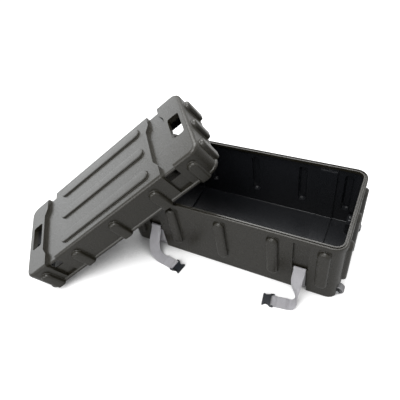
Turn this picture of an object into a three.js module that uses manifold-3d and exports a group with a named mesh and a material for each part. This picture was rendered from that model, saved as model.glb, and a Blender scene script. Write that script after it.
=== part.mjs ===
// A hard case for drum hardware: a deep tub with a lift-off lid, two webbing straps and two wheels.
// Both shells are hollow plastic mouldings of one wall thickness. The lid is off and leans on the tub:
// it stands on its left end and rests on the tub's front rim.
// Millimetres. X runs along the tub towards the wheels, Y from front to back, Z up.
// The origin is the middle of the tub's underside.
import * as THREE from 'three';
import { mergeVertices } from 'three/addons/utils/BufferGeometryUtils.js';
import Module from 'manifold-3d';

const wasm = await Module();
wasm.setup();

// Overall sizes
const caseLength = 914;
const caseWidth = 400;
const baseHeight = 312;
const lidHeight = 130;
const wallThickness = 5;
const cornerRadius = 40;

// Fits
const clearance = 0.3;
const runningGap = 0.05;
const overrun = 30;
const weldDistance = 0.0001;

// Rim of both shells, with the groove in the tub and the tongue under the lid
const rimWidth = 16;
const rimProud = 4;
const rimBandHeight = 26;
const rimRounding = 4;
const rimLip = 12;
const grooveWidth = 5;
const grooveDepth = 4;
const tongueWidth = 4;
const tongueHeight = 3;

// Edges and upright ribs
const baseEdgeRadius = 8;
const lidEdgeRadius = 14;
const ribWidth = 46;
const ribHeight = 16;
const ribRounding = 11;
const ribRoot = 9;
const ribPlaceShare = 0.7376;
const outerRibInset = 62;
const endRibInset = 66;
const baseRibFoot = 70;
const ribTopGap = 3;
const lidRibTop = 100;

// Strap channels, keepers and slots
const strapInset = 142;
const channelWidth = 58;
const channelDepth = 11;
const channelTurn = 7;
const channelFlare = 18;
const flareStart = 132;
const flareEnd = 98;
const topChannelDrop = 5;
const keeperTop = 136;
const keeperHeight = 18;
const keeperThickness = 5;
const keeperRoot = 2;
const slotWidth = 50;
const slotHeight = 30;
const slotFoot = 75;

// Lid top
const topRibGap = 29;
const topRibWidth = 48;
const topRibPlaceShare = 0.68;
const topRibHeight = 8;
const topRibRounding = 4;
const gripLength = 126;
const gripWidth = 54;
const gripRadius = 9;
const gripInset = 55;
const gripCollar = 22;

// Lid pose: the turn of its length, and where its foot stands on the ground
const lidYaw = THREE.MathUtils.degToRad(39.6);
const lidFootX = -779;
const lidFootY = -441;

// Straps: size, the bend round a bar, how far the two ends are folded back, and how far the long end runs out
// behind the tub, comes back to its second fold and lays its buckle
const strapWidth = 45;
const strapThickness = 2.4;
const barRadius = 2;
const sewnLength = 58;
const tailLength = 92;
const bendBehind = 12;
const foldRise = 4;
const foldLead = 14;
const rearReach = 305;
const rearBuckleBack = 115;
const rearReturnBack = 213;

// Buckles
const buckleWidth = 54;
const buckleLength = 39;
const buckleEnd = 4;
const buckleHeight = 13;
const buckleWaist = 42;
const buckleWall = 2.4;
const buckleChamfer = 1.6;
const buckleSlot = 8;
const strapPlay = 1.1;
const mouthFoot = 13;
const mouthHalfWidth = 18;
const windowFoot = 18;
const windowTop = 30;
const plugHeight = 9;
const plugBody = 15;
const prongTip = 35;
const prongHeight = 6;
const prongInside = 10;
const prongOutside = 15;
const barbOutside = 18;
const barbFoot = 25;
const guideHalfWidth = 2.5;

// Where the sockets lie on the ground, from where their straps leave the tub, and which way their mouths point
const socketRightX = -73;
const socketRightY = -86;
const socketRightHeading = THREE.MathUtils.degToRad(188.7);
const socketLeftX = 108;
const socketLeftY = -79;
const socketLeftHeading = THREE.MathUtils.degToRad(-11.5);
const rearHeading = THREE.MathUtils.degToRad(90);

// Wheels and their brackets
const wheelRadius = 23;
const wheelWidth = 25;
const wheelInsetX = 3;
const wheelInsetY = 40;
const wheelZ = 27;
const tyreThickness = 6.7;
const tyreRounding = 2;
const bearingRadius = 11;
const bearingBore = 4;
const bearingWidth = 7;
const bearingInset = 1;
const shoulder = 3;
const spacerRadius = 6.5;
const bracketThickness = 3;
const bracketGap = 2.5;
const bracketRoof = 8;
const bracketBack = 34;
const bracketFront = 7;
const bracketNose = 10;
const cheekDepth = 12;
const pocketGap = 0.5;
const boltHeadRadius = 6.5;
const boltHeadHeight = 3;
const boltTail = 1;
const nutRadius = 6.5;
const nutHeight = 5;
const rivetRadius = 2.2;
const rivetHeadRadius = 4.4;
const rivetHeadHeight = 1.6;
const rivetBack = 28;
const rivetFront = 15;
const rivetSide = 9;

// Smoothness
const cornerSteps = 5;
const edgeSteps = 3;
const padSteps = 2;
const bendSteps = 4;
const curveSteps = 2;
const roundSteps = 20;
const rivetSteps = 10;
const nutSteps = 6;

// Sizes that follow from the ones above
const halfLength = caseLength / 2;
const halfWidth = caseWidth / 2;
const wallX = halfLength - rimProud;
const wallY = halfWidth - rimProud;
const bandFoot = baseHeight - rimBandHeight;
const strapOffset = wallX - strapInset;
const channelInside = strapOffset - channelWidth / 2;
const ribSpacing = channelInside * ribPlaceShare;
const outerRibOffset = wallX - outerRibInset;
const endRibSpacing = wallY - endRibInset;
const topRibLength = 2 * (channelInside - channelFlare - topRibGap);
const topRibSpacing = wallY * topRibPlaceShare;
const gripOffset = wallX - gripInset;
const wheelX = wallX - wheelInsetX;
const wheelY = wallY - wheelInsetY;
const keeperBend = keeperThickness / 2 + clearance + strapThickness / 2;
const strapStandOff = channelDepth - keeperThickness - clearance - strapThickness / 2;
const strapPlane = wallY - channelDepth + strapStandOff;
const loopRadius = barRadius + strapThickness / 2 + clearance;
const floorStrap = clearance + strapThickness / 2;
const layerRise = strapThickness + clearance;

const shellMaterial = new THREE.MeshStandardMaterial({ color: 0x3d3b38, roughness: 0.62, metalness: 0 });
const webbingMaterial = new THREE.MeshStandardMaterial({ color: 0xa9a7ad, roughness: 0.85, metalness: 0 });
const buckleMaterial = new THREE.MeshStandardMaterial({ color: 0x23262b, roughness: 0.42, metalness: 0 });
const bracketMaterial = new THREE.MeshStandardMaterial({ color: 0x1f2022, roughness: 0.5, metalness: 0 });
const tyreMaterial = new THREE.MeshStandardMaterial({ color: 0x77787a, roughness: 0.7, metalness: 0 });
const coreMaterial = new THREE.MeshStandardMaterial({ color: 0x4a4b4d, roughness: 0.5, metalness: 0 });
const steelMaterial = new THREE.MeshStandardMaterial({ color: 0xb4b6ba, roughness: 0.32, metalness: 1 });

// A closed geometry becomes a solid that can be joined and cut.
function solidOf(geometry) {
  const bare = geometry.clone();
  bare.deleteAttribute('normal');
  bare.deleteAttribute('uv');
  const merged = mergeVertices(bare, weldDistance);
  const vertProperties = new Float32Array(merged.attributes.position.array);
  const triVerts = new Uint32Array(merged.index.array);
  return new wasm.Manifold(new wasm.Mesh({ numProp: 3, vertProperties, triVerts }));
}

function unite(solids) {
  return solids.reduce((sum, solid) => sum.add(solid));
}

function node(name, solid, material) {
  const { vertProperties, triVerts, numProp } = solid.getMesh();
  const positions = new Float32Array((vertProperties.length / numProp) * 3);
  for (let vertex = 0; vertex < positions.length / 3; vertex += 1) {
    positions.set(vertProperties.subarray(vertex * numProp, vertex * numProp + 3), vertex * 3);
  }
  const geometry = new THREE.BufferGeometry();
  geometry.setAttribute('position', new THREE.BufferAttribute(positions, 3));
  geometry.setIndex(new THREE.BufferAttribute(new Uint32Array(triVerts), 1));
  geometry.computeVertexNormals();
  const mesh = new THREE.Mesh(geometry, material);
  mesh.name = name;
  return mesh;
}

// Rings of equally many points, each turning the same way, joined by walls and closed at both ends.
function loftGeometry(rings) {
  const count = rings[0].length;
  const positions = rings.flatMap((ring) => ring.flatMap((point) => [point.x, point.y, point.z]));
  const index = [];
  for (let level = 0; level < rings.length - 1; level += 1) {
    for (let step = 0; step < count; step += 1) {
      const next = (step + 1) % count;
      const low = level * count;
      const high = low + count;
      index.push(low + step, low + next, high + next, low + step, high + next, high + step);
    }
  }
  const top = (rings.length - 1) * count;
  for (let step = 1; step < count - 1; step += 1) {
    index.push(0, step + 1, step, top, top + step, top + step + 1);
  }
  const geometry = new THREE.BufferGeometry();
  geometry.setAttribute('position', new THREE.Float32BufferAttribute(positions, 3));
  geometry.setIndex(index);
  return geometry;
}

// A rectangle with rounded corners, as points at one height.
function outline(halfX, halfY, radius, z, steps) {
  const round = Math.max(Math.min(radius, halfX, halfY), clearance);
  const signs = [[1, 1], [-1, 1], [-1, -1], [1, -1]];
  return signs.flatMap(([signX, signY], quarter) =>
    Array.from({ length: steps + 1 }, (_, step) => {
      const angle = ((quarter + step / steps) * Math.PI) / 2;
      return new THREE.Vector3(
        signX * (halfX - round) + round * Math.cos(angle),
        signY * (halfY - round) + round * Math.sin(angle),
        z,
      );
    }));
}

// A block whose outline shrinks by an inset at each height of its profile.
function block(halfX, halfY, radius, profile, steps = cornerSteps) {
  const rings = profile.map(([inset, z]) => outline(halfX - inset, halfY - inset, radius - inset, z, steps));
  return solidOf(loftGeometry(rings));
}

function box(x0, x1, y0, y1, z0, z1) {
  const geometry = new THREE.BoxGeometry(x1 - x0, y1 - y0, z1 - z0);
  return solidOf(geometry.translate((x0 + x1) / 2, (y0 + y1) / 2, (z0 + z1) / 2));
}

function prism(points, z0, z1) {
  const shape = new THREE.Shape(points.map(([x, y]) => new THREE.Vector2(x, y)));
  const geometry = new THREE.ExtrudeGeometry(shape, { depth: z1 - z0, bevelEnabled: false });
  return solidOf(geometry.translate(0, 0, z0));
}

// A turned solid about the Y axis, from [radius, y] points that close on themselves.
function turned(points) {
  const profile = [...points, points[0]].map(([radius, along]) => new THREE.Vector2(radius, along));
  return solidOf(new THREE.LatheGeometry(profile, roundSteps));
}

function moved(solid, x, y, z) {
  return solid.translate([x, y, z]);
}

// Quarter round between the bottom face and the walls: pairs of inset and height.
function roundedFoot(radius, foot) {
  return Array.from({ length: edgeSteps + 1 }, (_, step) => {
    const angle = (step / edgeSteps) * (Math.PI / 2);
    return [radius * (1 - Math.sin(angle)), foot + radius * (1 - Math.cos(angle))];
  });
}

// The same round at the top edge.
function roundedHead(radius, top) {
  return Array.from({ length: edgeSteps + 1 }, (_, step) => {
    const angle = (step / edgeSteps) * (Math.PI / 2);
    return [radius * (1 - Math.cos(angle)), top - radius * (1 - Math.sin(angle))];
  });
}

// How far a rib, and the hollow behind it, have drawn in, in roundings, at each share of the height.
const ribShares = [
  [0.08, 0.45],
  [0.35, 0.8],
  [1, 1],
];
const hollowShares = [
  [0.15, 0.45],
  [0.7, 1],
];

// A round-ended rib in its own frame: u along the wall, v up it, and out of the wall.
// The inset gives the hollow behind it.
function rib(halfU, halfV, height, rounding, inset) {
  const shares = inset > 0 ? hollowShares : ribShares;
  const profile = [
    [0, -ribRoot],
    ...shares.map(([side, up]) => [side * rounding, up * (height - inset)]),
  ];
  return block(halfU - inset, halfV - inset, halfU - inset, profile, padSteps);
}

function onWall(solid, origin, along, up) {
  const out = new THREE.Vector3().crossVectors(along, up);
  const matrix = new THREE.Matrix4().makeBasis(along, up, out).setPosition(origin);
  return solid.transform(matrix.elements);
}

// The upright ribs of one shell between two heights.
function wallRibs(foot, top, inset) {
  const z = (top + foot) / 2;
  const up = new THREE.Vector3(0, 0, 1);
  const shape = rib(ribWidth / 2, (top - foot) / 2, ribHeight, ribRounding, inset);
  const sidePlaces = [-outerRibOffset, -ribSpacing, 0, ribSpacing, outerRibOffset];
  const endPlaces = [-endRibSpacing, 0, endRibSpacing];
  return [
    ...sidePlaces.map((x) => onWall(shape, new THREE.Vector3(x, -wallY, z), new THREE.Vector3(1, 0, 0), up)),
    ...sidePlaces.map((x) => onWall(shape, new THREE.Vector3(x, wallY, z), new THREE.Vector3(-1, 0, 0), up)),
    ...endPlaces.map((y) => onWall(shape, new THREE.Vector3(wallX, y, z), new THREE.Vector3(0, 1, 0), up)),
    ...endPlaces.map((y) => onWall(shape, new THREE.Vector3(-wallX, y, z), new THREE.Vector3(0, -1, 0), up)),
  ];
}

// A ring that follows the rim between two insets from its outer face.
function rimRing(outer, inner, z0, z1) {
  const radius = cornerRadius + rimProud;
  const outside = block(halfLength - outer, halfWidth - outer, radius - outer, [[0, z0], [0, z1]]);
  const reach = [[0, z0 - clearance], [0, z1 + clearance]];
  return outside.subtract(block(halfLength - inner, halfWidth - inner, radius - inner, reach));
}

// The tub's body, drawn in by an inset on every face, with its own round at the bottom edge.
function tubBody(inset, edge, top) {
  const foot = roundedFoot(edge, inset).map(([side, z]) => [side + inset, z]);
  return block(wallX, wallY, cornerRadius, [...foot, [inset, top]]);
}

// What a strap channel takes from the tub: a band round the front, the underside and the back.
function tubChannels(grow) {
  const core = tubBody(channelDepth + grow, channelTurn - grow, baseHeight);
  const half = channelWidth / 2 + grow;
  const bands = [-strapOffset, strapOffset].map((x) =>
    box(x - half, x + half, -halfWidth - overrun, halfWidth + overrun, -overrun, bandFoot + grow));
  return unite(bands).subtract(core);
}

const bracketHalf = wheelWidth / 2 + bracketGap + bracketThickness;
const boltReach = bracketHalf + clearance + boltHeadHeight + pocketGap;
const nutReach = bracketHalf + clearance + nutHeight + boltTail + pocketGap;
const roofFoot = wheelZ + wheelRadius + bracketRoof;
const roofTop = roofFoot + bracketThickness;

// The rounded outer edge of the rim: pairs of inset and height.
const rimEdge = [
  [0, baseHeight - rimRounding],
  [rimRounding / 3, baseHeight - rimRounding / 3],
  [rimRounding, baseHeight],
];

// The two wheel pockets, open to the floor and to the end wall.
function wheelPockets(grow) {
  const back = wheelX - bracketBack - pocketGap - grow;
  const top = roofTop + clearance + grow;
  const pocket = box(
    back, halfLength + overrun,
    wheelY - nutReach - grow, wheelY + boltReach + grow,
    -overrun, top,
  );
  return pocket.add(pocket.mirror([0, 1, 0]));
}

// A rounded bar across each channel, flush with the wall, for the strap to hang over.
function keepers() {
  const half = keeperHeight / 2;
  const profile = [[0, -keeperThickness / 2], [0, keeperThickness / 2]];
  const bar = block(channelWidth / 2 + keeperRoot, half, keeperThickness / 2, profile, padSteps);
  const up = new THREE.Vector3(0, 0, 1);
  const y = wallY - keeperThickness / 2;
  return [-1, 1].flatMap((side) => [-strapOffset, strapOffset].map((x) =>
    onWall(bar, new THREE.Vector3(x, side * y, keeperTop - half), new THREE.Vector3(-side, 0, 0), up)));
}

function rivetHoles(radius) {
  const holes = rivetPlaces().map(([x, y]) =>
    moved(upright(radius, roofFoot - overrun, roofTop + overrun, rivetSteps), x, y, 0));
  return unite(holes);
}

function baseShell() {
  const ribTop = bandFoot - ribTopGap;
  const outer = unite([
    tubBody(0, baseEdgeRadius, baseHeight - rimRounding),
    ...wallRibs(baseRibFoot, ribTop, 0),
  ])
    .subtract(tubChannels(0))
    .subtract(wheelPockets(0));
  const hollow = unite([
    tubBody(wallThickness, baseEdgeRadius - wallThickness, baseHeight - rimLip),
    ...wallRibs(baseRibFoot, ribTop, wallThickness),
  ])
    .subtract(tubChannels(wallThickness))
    .subtract(wheelPockets(wallThickness));
  const profile = [[rimProud, bandFoot], [0, bandFoot + rimProud], ...rimEdge];
  const band = block(halfLength, halfWidth, cornerRadius + rimProud, profile);
  const opening = block(
    halfLength - rimWidth, halfWidth - rimWidth, cornerRadius - rimWidth + rimProud,
    [[0, bandFoot], [0, baseHeight + overrun]],
  );
  const groove = rimRing(
    (rimWidth - grooveWidth) / 2, (rimWidth + grooveWidth) / 2,
    baseHeight - grooveDepth, baseHeight + overrun,
  );
  return outer.add(band).subtract(hollow).subtract(opening).subtract(groove)
    .add(unite(keepers()))
    .subtract(rivetHoles(rivetRadius + clearance));
}

// The lid's body in its own frame: rim down, drawn in by an inset, with its own round at the top edge.
function lidBody(inset, edge, top) {
  const head = roundedHead(edge, top).map(([side, z]) => [side + inset, z]);
  return block(wallX, wallY, cornerRadius, [[inset, 0], ...head]);
}

// What a strap channel takes from the lid. It is wider between the flares.
function lidChannels(grow) {
  const half = channelWidth / 2 + grow;
  const inner = strapOffset - half;
  const outer = strapOffset + half;
  const end = halfWidth + overrun;
  const start = flareStart + grow;
  const jog = flareEnd + grow;
  const plan = [
    [outer, -end], [outer, -start], [outer + channelFlare, -jog], [outer + channelFlare, jog],
    [outer, start], [outer, end],
    [inner, end], [inner, start], [inner - channelFlare, jog], [inner - channelFlare, -jog],
    [inner, -start], [inner, -end],
  ];
  const cut = prism(plan, rimLip - grow, lidHeight + overrun);
  const depth = channelDepth + grow;
  const core = lidBody(depth, channelTurn - grow, lidHeight - topChannelDrop - depth);
  return cut.add(cut.mirror([1, 0, 0])).subtract(core);
}

function topRibs(inset) {
  const shape = rib(topRibLength / 2, topRibWidth / 2, topRibHeight, topRibRounding, inset);
  return [-topRibSpacing, 0, topRibSpacing].map((y) => moved(shape, 0, y, lidHeight));
}

// Grip openings, or the collars round them when grown.
function grips(grow, foot, top) {
  const radius = gripRadius + grow;
  const cut = block(gripWidth / 2 + grow, gripLength / 2 + grow, radius, [[0, foot], [0, top]], padSteps);
  return [-gripOffset, gripOffset].map((x) => moved(cut, x, 0, 0));
}

function strapSlots() {
  return [-1, 1].flatMap((side) => [-strapOffset, strapOffset].map((x) => {
    const cut = box(
      x - slotWidth / 2, x + slotWidth / 2,
      wallY - overrun, wallY + overrun,
      slotFoot, slotFoot + slotHeight,
    );
    return side > 0 ? cut : cut.mirror([0, 1, 0]);
  }));
}

function lidShell() {
  const outer = unite([
    lidBody(0, lidEdgeRadius, lidHeight),
    ...wallRibs(-overrun, lidRibTop, 0),
    ...topRibs(0),
  ])
    .subtract(lidChannels(0));
  const hollow = unite([
    lidBody(wallThickness, lidEdgeRadius - wallThickness, lidHeight - wallThickness),
    ...wallRibs(-overrun, lidRibTop, wallThickness),
    ...topRibs(wallThickness),
  ])
    .subtract(lidChannels(wallThickness))
    .subtract(unite(grips(wallThickness, lidHeight - gripCollar, lidHeight)))
    .intersect(box(-caseLength, caseLength, -caseWidth, caseWidth, rimLip, caseLength));
  const lipProfile = [[0, 0], [0, rimLip - rimProud], [rimProud, rimLip]];
  const lip = block(halfLength, halfWidth, cornerRadius + rimProud, lipProfile);
  const opening = block(
    halfLength - rimWidth, halfWidth - rimWidth, cornerRadius + rimProud - rimWidth,
    [[0, -overrun], [0, rimLip + clearance]],
  );
  const tongue = rimRing(
    (rimWidth - tongueWidth) / 2, (rimWidth + tongueWidth) / 2, -tongueHeight, clearance,
  );
  return outer.add(lip)
    .intersect(box(-caseLength, caseLength, -caseWidth, caseWidth, 0, caseLength))
    .subtract(hollow)
    .subtract(opening)
    .subtract(unite(grips(0, -overrun, lidHeight + overrun)))
    .subtract(unite(strapSlots()))
    .add(tongue);
}

// The lid's lean: the smallest slope at which its underside clears every point of the tub's rim.
// A line of the rim crosses the underside at a place across the lid, where a part of the lid hangs by a drop.
function lidLean() {
  const slopeOver = (x, y, z, drop) => {
    const along = (x - lidFootX) * Math.cos(lidYaw) + (y - lidFootY) * Math.sin(lidYaw);
    const rise = z - clearance;
    return Math.atan2(rise, along) + Math.asin((drop + clearance) / Math.hypot(rise, along));
  };
  const onFront = (inset, z, across, drop) => {
    const y = inset - halfWidth;
    const x = lidFootX + ((y - lidFootY) * Math.cos(lidYaw) - across) / Math.sin(lidYaw);
    return slopeOver(x, y, z, drop);
  };
  const onEnd = (inset, z, across, drop) => {
    const x = inset - halfLength;
    const y = lidFootY + (across + (x - lidFootX) * Math.sin(lidYaw)) / Math.cos(lidYaw);
    return slopeOver(x, y, z, drop);
  };
  const tongueInside = halfWidth - (rimWidth + tongueWidth) / 2;
  const rimInside = halfWidth - rimWidth;
  return Math.max(...rimEdge.flatMap(([inset, z]) => [
    onFront(inset, z, -tongueInside, tongueHeight), onFront(inset, z, -rimInside, 0),
    onEnd(inset, z, tongueInside, tongueHeight), onEnd(inset, z, rimInside, 0),
  ]));
}

function leaned(solid) {
  const lean = lidLean();
  const along = new THREE.Vector3(
    Math.cos(lidYaw) * Math.cos(lean), Math.sin(lidYaw) * Math.cos(lean), Math.sin(lean),
  );
  const across = new THREE.Vector3(-Math.sin(lidYaw), Math.cos(lidYaw), 0);
  const out = new THREE.Vector3().crossVectors(along, across);
  const place = new THREE.Vector3(lidFootX, lidFootY, clearance).addScaledVector(along, wallX + ribHeight);
  return solid.transform(new THREE.Matrix4().makeBasis(along, across, out).setPosition(place).elements);
}

// Where a buckle half lies: the middle of its bar, and the way its mouth or its prongs point.
function placed(x, y, z, heading) {
  const ahead = new THREE.Vector3(Math.cos(heading), Math.sin(heading), 0);
  return { bar: new THREE.Vector3(x, y, z), ahead };
}

const frontHeight = floorStrap + loopRadius;
const rearHeight = frontHeight + 2 * layerRise;
const rearFold = halfWidth + rearReach;
const rearReturn = rearFold - rearReturnBack;
const rearBuckle = rearFold - rearBuckleBack;
const socketRight = placed(
  strapOffset + socketRightX, socketRightY - halfWidth, frontHeight, socketRightHeading,
);
const socketLeft = placed(
  socketLeftX - strapOffset, socketLeftY - halfWidth, frontHeight, socketLeftHeading,
);
const plugRight = placed(strapOffset, rearBuckle, rearHeight, rearHeading);
const plugLeft = placed(-strapOffset, rearBuckle, rearHeight, rearHeading);

// The strap's turn round a bar: from the free end on top, round the bar, to the run below it.
function bend({ bar, ahead }, folded, side) {
  const at = (reach, z) => [bar.clone().addScaledVector(ahead, reach).setZ(z), side];
  const low = bar.z - loopRadius;
  const top = Array.from({ length: bendSteps + 1 }, (_, step) => {
    const angle = Math.PI * (1 / 2 - step / bendSteps);
    return at(loopRadius * Math.cos(angle), bar.z + loopRadius * Math.sin(angle));
  });
  return [
    at(-folded, low + layerRise), at(-folded / 2, low + layerRise), at(-2 * bendBehind, low + layerRise),
    at(-bendBehind, low + layerRise + clearance), ...top, at(-bendBehind, low),
  ];
}

// Over a keeper, down its channel, under the tub and up to the other keeper: the part the two straps share.
function underTub(x) {
  const along = new THREE.Vector3(1, 0, 0);
  const at = (y, z) => [new THREE.Vector3(x, y, z), along];
  const turn = channelTurn + strapStandOff;
  const centreZ = channelTurn + channelDepth;
  const low = centreZ - turn;
  const overKeeper = Array.from({ length: bendSteps + 1 }, (_, step) => {
    const angle = (Math.PI * step) / bendSteps;
    return [keeperBend * Math.cos(angle), keeperBend * Math.sin(angle)];
  });
  const middle = wallY - keeperThickness / 2;
  const front = overKeeper.map(([out, up]) => at(-(middle + out), keeperTop + up));
  const corner = Array.from({ length: padSteps + 1 }, (_, step) => {
    const angle = (step / padSteps) * (Math.PI / 2);
    return [turn * Math.cos(angle), turn * Math.sin(angle)];
  });
  const cornerY = strapPlane - turn;
  const down = corner.map(([out, drop]) => at(-(cornerY + out), centreZ - drop));
  const rear = [...front, at(-strapPlane, (keeperTop + centreZ) / 2), ...down]
    .map(([point, side]) => [new THREE.Vector3(point.x, -point.y, point.z), side]).reverse();
  return [
    ...front, at(-strapPlane, (keeperTop + centreZ) / 2), ...down,
    at(-cornerY / 2, low), at(0, low), at(cornerY / 2, low), ...rear,
  ];
}

// Behind the tub the strap falls to the ground, runs out, back and out again to its plug.
function behindTub(x, plug) {
  const along = new THREE.Vector3(1, 0, 0);
  const at = (y, z) => [new THREE.Vector3(x, y, z), along];
  const second = floorStrap + layerRise;
  const third = second + layerRise;
  const fall = rearFall.map(([out, z]) => at(halfWidth + out, z));
  const outer = [
    at(rearFold - foldLead, floorStrap), at(rearFold - foldRise, floorStrap + clearance),
    at(rearFold, floorStrap + foldRise), at(rearFold - foldRise, floorStrap + 2 * foldRise),
    at(rearFold - foldLead, second + foldRise / 2), at(rearFold - 2 * foldLead, second),
  ];
  const inner = [
    at(rearReturn + foldLead, second), at(rearReturn + foldRise, second + clearance),
    at(rearReturn, second + foldRise), at(rearReturn + foldRise, second + 2 * foldRise),
    at(rearReturn + foldLead, third + foldRise / 2), at(rearReturn + 2 * foldLead, third),
  ];
  return [...fall, ...outer, ...inner, ...bend(plug, tailLength, along).reverse()];
}

// How the free ends hang: distance out from the tub and height.
const rearFall = [
  [2, 118],
  [6, 88],
  [15, 56],
  [28, 28],
  [44, 9],
  [62, 1.6],
  [90, 1.5],
];

// The front ends twist as they hang: place of the middle, from where the strap leaves the tub, and the
// direction of the strap's width.
const frontRight = [
  [0, 0, 124, 1, 0],
  [-2, -7, 104, 1, -0.08],
  [-3, -19, 82, 0.97, -0.25],
  [0, -34, 60, 0.8, -0.6],
  [6, -50, 39, 0.45, -0.9],
  [9, -65, 20, 0.25, -1],
  [0, -74, 6, 0.15, -1],
  [-16, -78, 1.6, 0.12, -1],
  [-39, -81, 1.5, 0.14, -1],
];
const frontLeft = [
  [0, 0, 124, 1, 0],
  [-3, -7, 104, 1, 0.08],
  [-7, -21, 77, 0.97, 0.25],
  [-7, -37, 49, 0.85, 0.5],
  [2, -53, 24, 0.6, 0.8],
  [18, -62, 7, 0.38, 0.95],
  [36, -67, 1.6, 0.25, 1],
  [67, -71, 1.5, 0.2, 1],
];

// A front end: from its sewn bend round the socket's bar, along the ground and up to the keeper.
function inFront(places, x, socket) {
  const hang = places.map(([shift, out, z, sideX, sideY]) =>
    [new THREE.Vector3(x + shift, out - halfWidth, z), new THREE.Vector3(sideX, sideY, 0)]);
  const side = new THREE.Vector3(-socket.ahead.y, socket.ahead.x, 0);
  return [...bend(socket, sewnLength, side), ...hang.reverse()];
}

// One strap: a flat section carried along its route, its width kept square to the way it runs.
function strap(route) {
  const points = route.map(([point]) => point);
  const curve = new THREE.CatmullRomCurve3(points, false, 'centripetal');
  const spans = points.length - 1;
  const rings = [];
  for (let step = 0; step <= spans * curveSteps; step += 1) {
    const share = step / (spans * curveSteps);
    const span = Math.min(Math.floor(share * spans), spans - 1);
    const tangent = curve.getTangent(share);
    const side = route[span][1].clone().lerp(route[span + 1][1], share * spans - span);
    side.addScaledVector(tangent, -side.dot(tangent)).normalize();
    const face = new THREE.Vector3().crossVectors(tangent, side);
    const centre = curve.getPoint(share);
    const corners = [[1, 1], [-1, 1], [-1, -1], [1, -1]];
    rings.push(corners.map(([wide, thick]) => centre.clone()
      .addScaledVector(side, (wide * strapWidth) / 2)
      .addScaledVector(face, (thick * strapThickness) / 2)));
  }
  return solidOf(loftGeometry(rings));
}

// Half of a buckle's outline from its bar to its front, as shares: reach ahead, and width from waist to end.
const socketShares = [
  [0, 1],
  [0.3, 1],
  [0.46, 0.35],
  [0.66, 0.1],
  [0.82, 0.35],
  [0.94, 0.8],
  [1, 0.75],
];
const plugShares = [
  [0, 1],
  [0.75, 1],
  [1, 0.7],
];

// A block in a buckle's frame, with chamfered faces: x ahead, z up.
function buckleBlank(shares, length, foot, height) {
  const halves = shares.map(([ahead, wide]) => [
    -buckleEnd + ahead * (length + buckleEnd),
    buckleWaist / 2 + (wide * (buckleWidth - buckleWaist)) / 2,
  ]);
  const ring = (inset, z) => {
    const fit = ([x, half]) => [
      Math.min(Math.max(x, -buckleEnd + inset), length - inset),
      half - inset,
    ];
    const right = halves.map(fit).map(([x, half]) => new THREE.Vector3(x, -half, z));
    const left = halves.map(fit).map(([x, half]) => new THREE.Vector3(x, half, z)).reverse();
    return [...right, ...left];
  };
  const top = foot + height;
  return solidOf(loftGeometry([
    ring(buckleChamfer, foot), ring(0, foot + buckleChamfer),
    ring(0, top - buckleChamfer), ring(buckleChamfer, top),
  ]));
}

// The open end that takes the strap: a slot with a bar across it.
function barEnd(blank, barZ) {
  const half = strapWidth / 2 + strapPlay;
  const gap = box(-overrun, buckleSlot, -half, half, -overrun, overrun);
  const bar = rod(barRadius, -half - strapPlay, half + strapPlay, rivetSteps);
  return blank.subtract(gap).add(moved(bar, 0, 0, barZ));
}

function socket() {
  const barZ = floorStrap + loopRadius;
  const blank = buckleBlank(socketShares, buckleLength, clearance, buckleHeight);
  const inside = clearance + buckleWall;
  const top = clearance + buckleHeight - buckleWall;
  const mouth = box(mouthFoot, buckleLength + overrun, -mouthHalfWidth, mouthHalfWidth, inside, top);
  const windows = box(windowFoot, windowTop, -buckleWidth, buckleWidth, inside, top);
  return moved(barEnd(blank, barZ).subtract(mouth).subtract(windows), 0, 0, -barZ);
}

function plug() {
  const frame = barEnd(buckleBlank(plugShares, plugBody, -plugHeight / 2, plugHeight), 0);
  const foot = -prongHeight / 2;
  const prong = prism([
    [plugBody - clearance, prongInside], [prongTip, prongInside], [barbFoot, barbOutside],
    [barbFoot, prongOutside], [plugBody - clearance, prongOutside],
  ], foot, foot + prongHeight);
  const top = foot + prongHeight;
  const guide = box(plugBody - clearance, prongTip, -guideHalfWidth, guideHalfWidth, foot, top);
  return unite([frame, prong, prong.mirror([0, 1, 0]), guide]);
}

function laid(solid, { bar, ahead }) {
  const up = new THREE.Vector3(0, 0, 1);
  const across = new THREE.Vector3().crossVectors(up, ahead);
  return solid.transform(new THREE.Matrix4().makeBasis(ahead, across, up).setPosition(bar).elements);
}

// A round bar along Y.
function rod(radius, y0, y1, steps = roundSteps) {
  const geometry = new THREE.CylinderGeometry(radius, radius, y1 - y0, steps);
  return solidOf(geometry.translate(0, (y0 + y1) / 2, 0));
}

function upright(radius, z0, z1, steps = roundSteps) {
  const geometry = new THREE.CylinderGeometry(radius, radius, z1 - z0, steps).rotateX(Math.PI / 2);
  return solidOf(geometry.translate(0, 0, (z0 + z1) / 2));
}

function rivetPlaces() {
  return [rivetBack, rivetFront].flatMap((back) => [-1, 1].flatMap((wheel) =>
    [-rivetSide, rivetSide].map((side) => [wheelX - back, wheel * (wheelY + side)])));
}

// A rivet: a shank with a head under the bracket and one inside the tub.
function rivet(x, y) {
  const low = roofFoot - clearance;
  const high = roofTop + 2 * clearance + wallThickness;
  const solid = unite([
    upright(rivetRadius, low - rivetHeadHeight, high + rivetHeadHeight, rivetSteps),
    upright(rivetHeadRadius, low - rivetHeadHeight, low, rivetSteps),
    upright(rivetHeadRadius, high, high + rivetHeadHeight, rivetSteps),
  ]);
  return moved(solid, x, y, 0);
}

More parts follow.
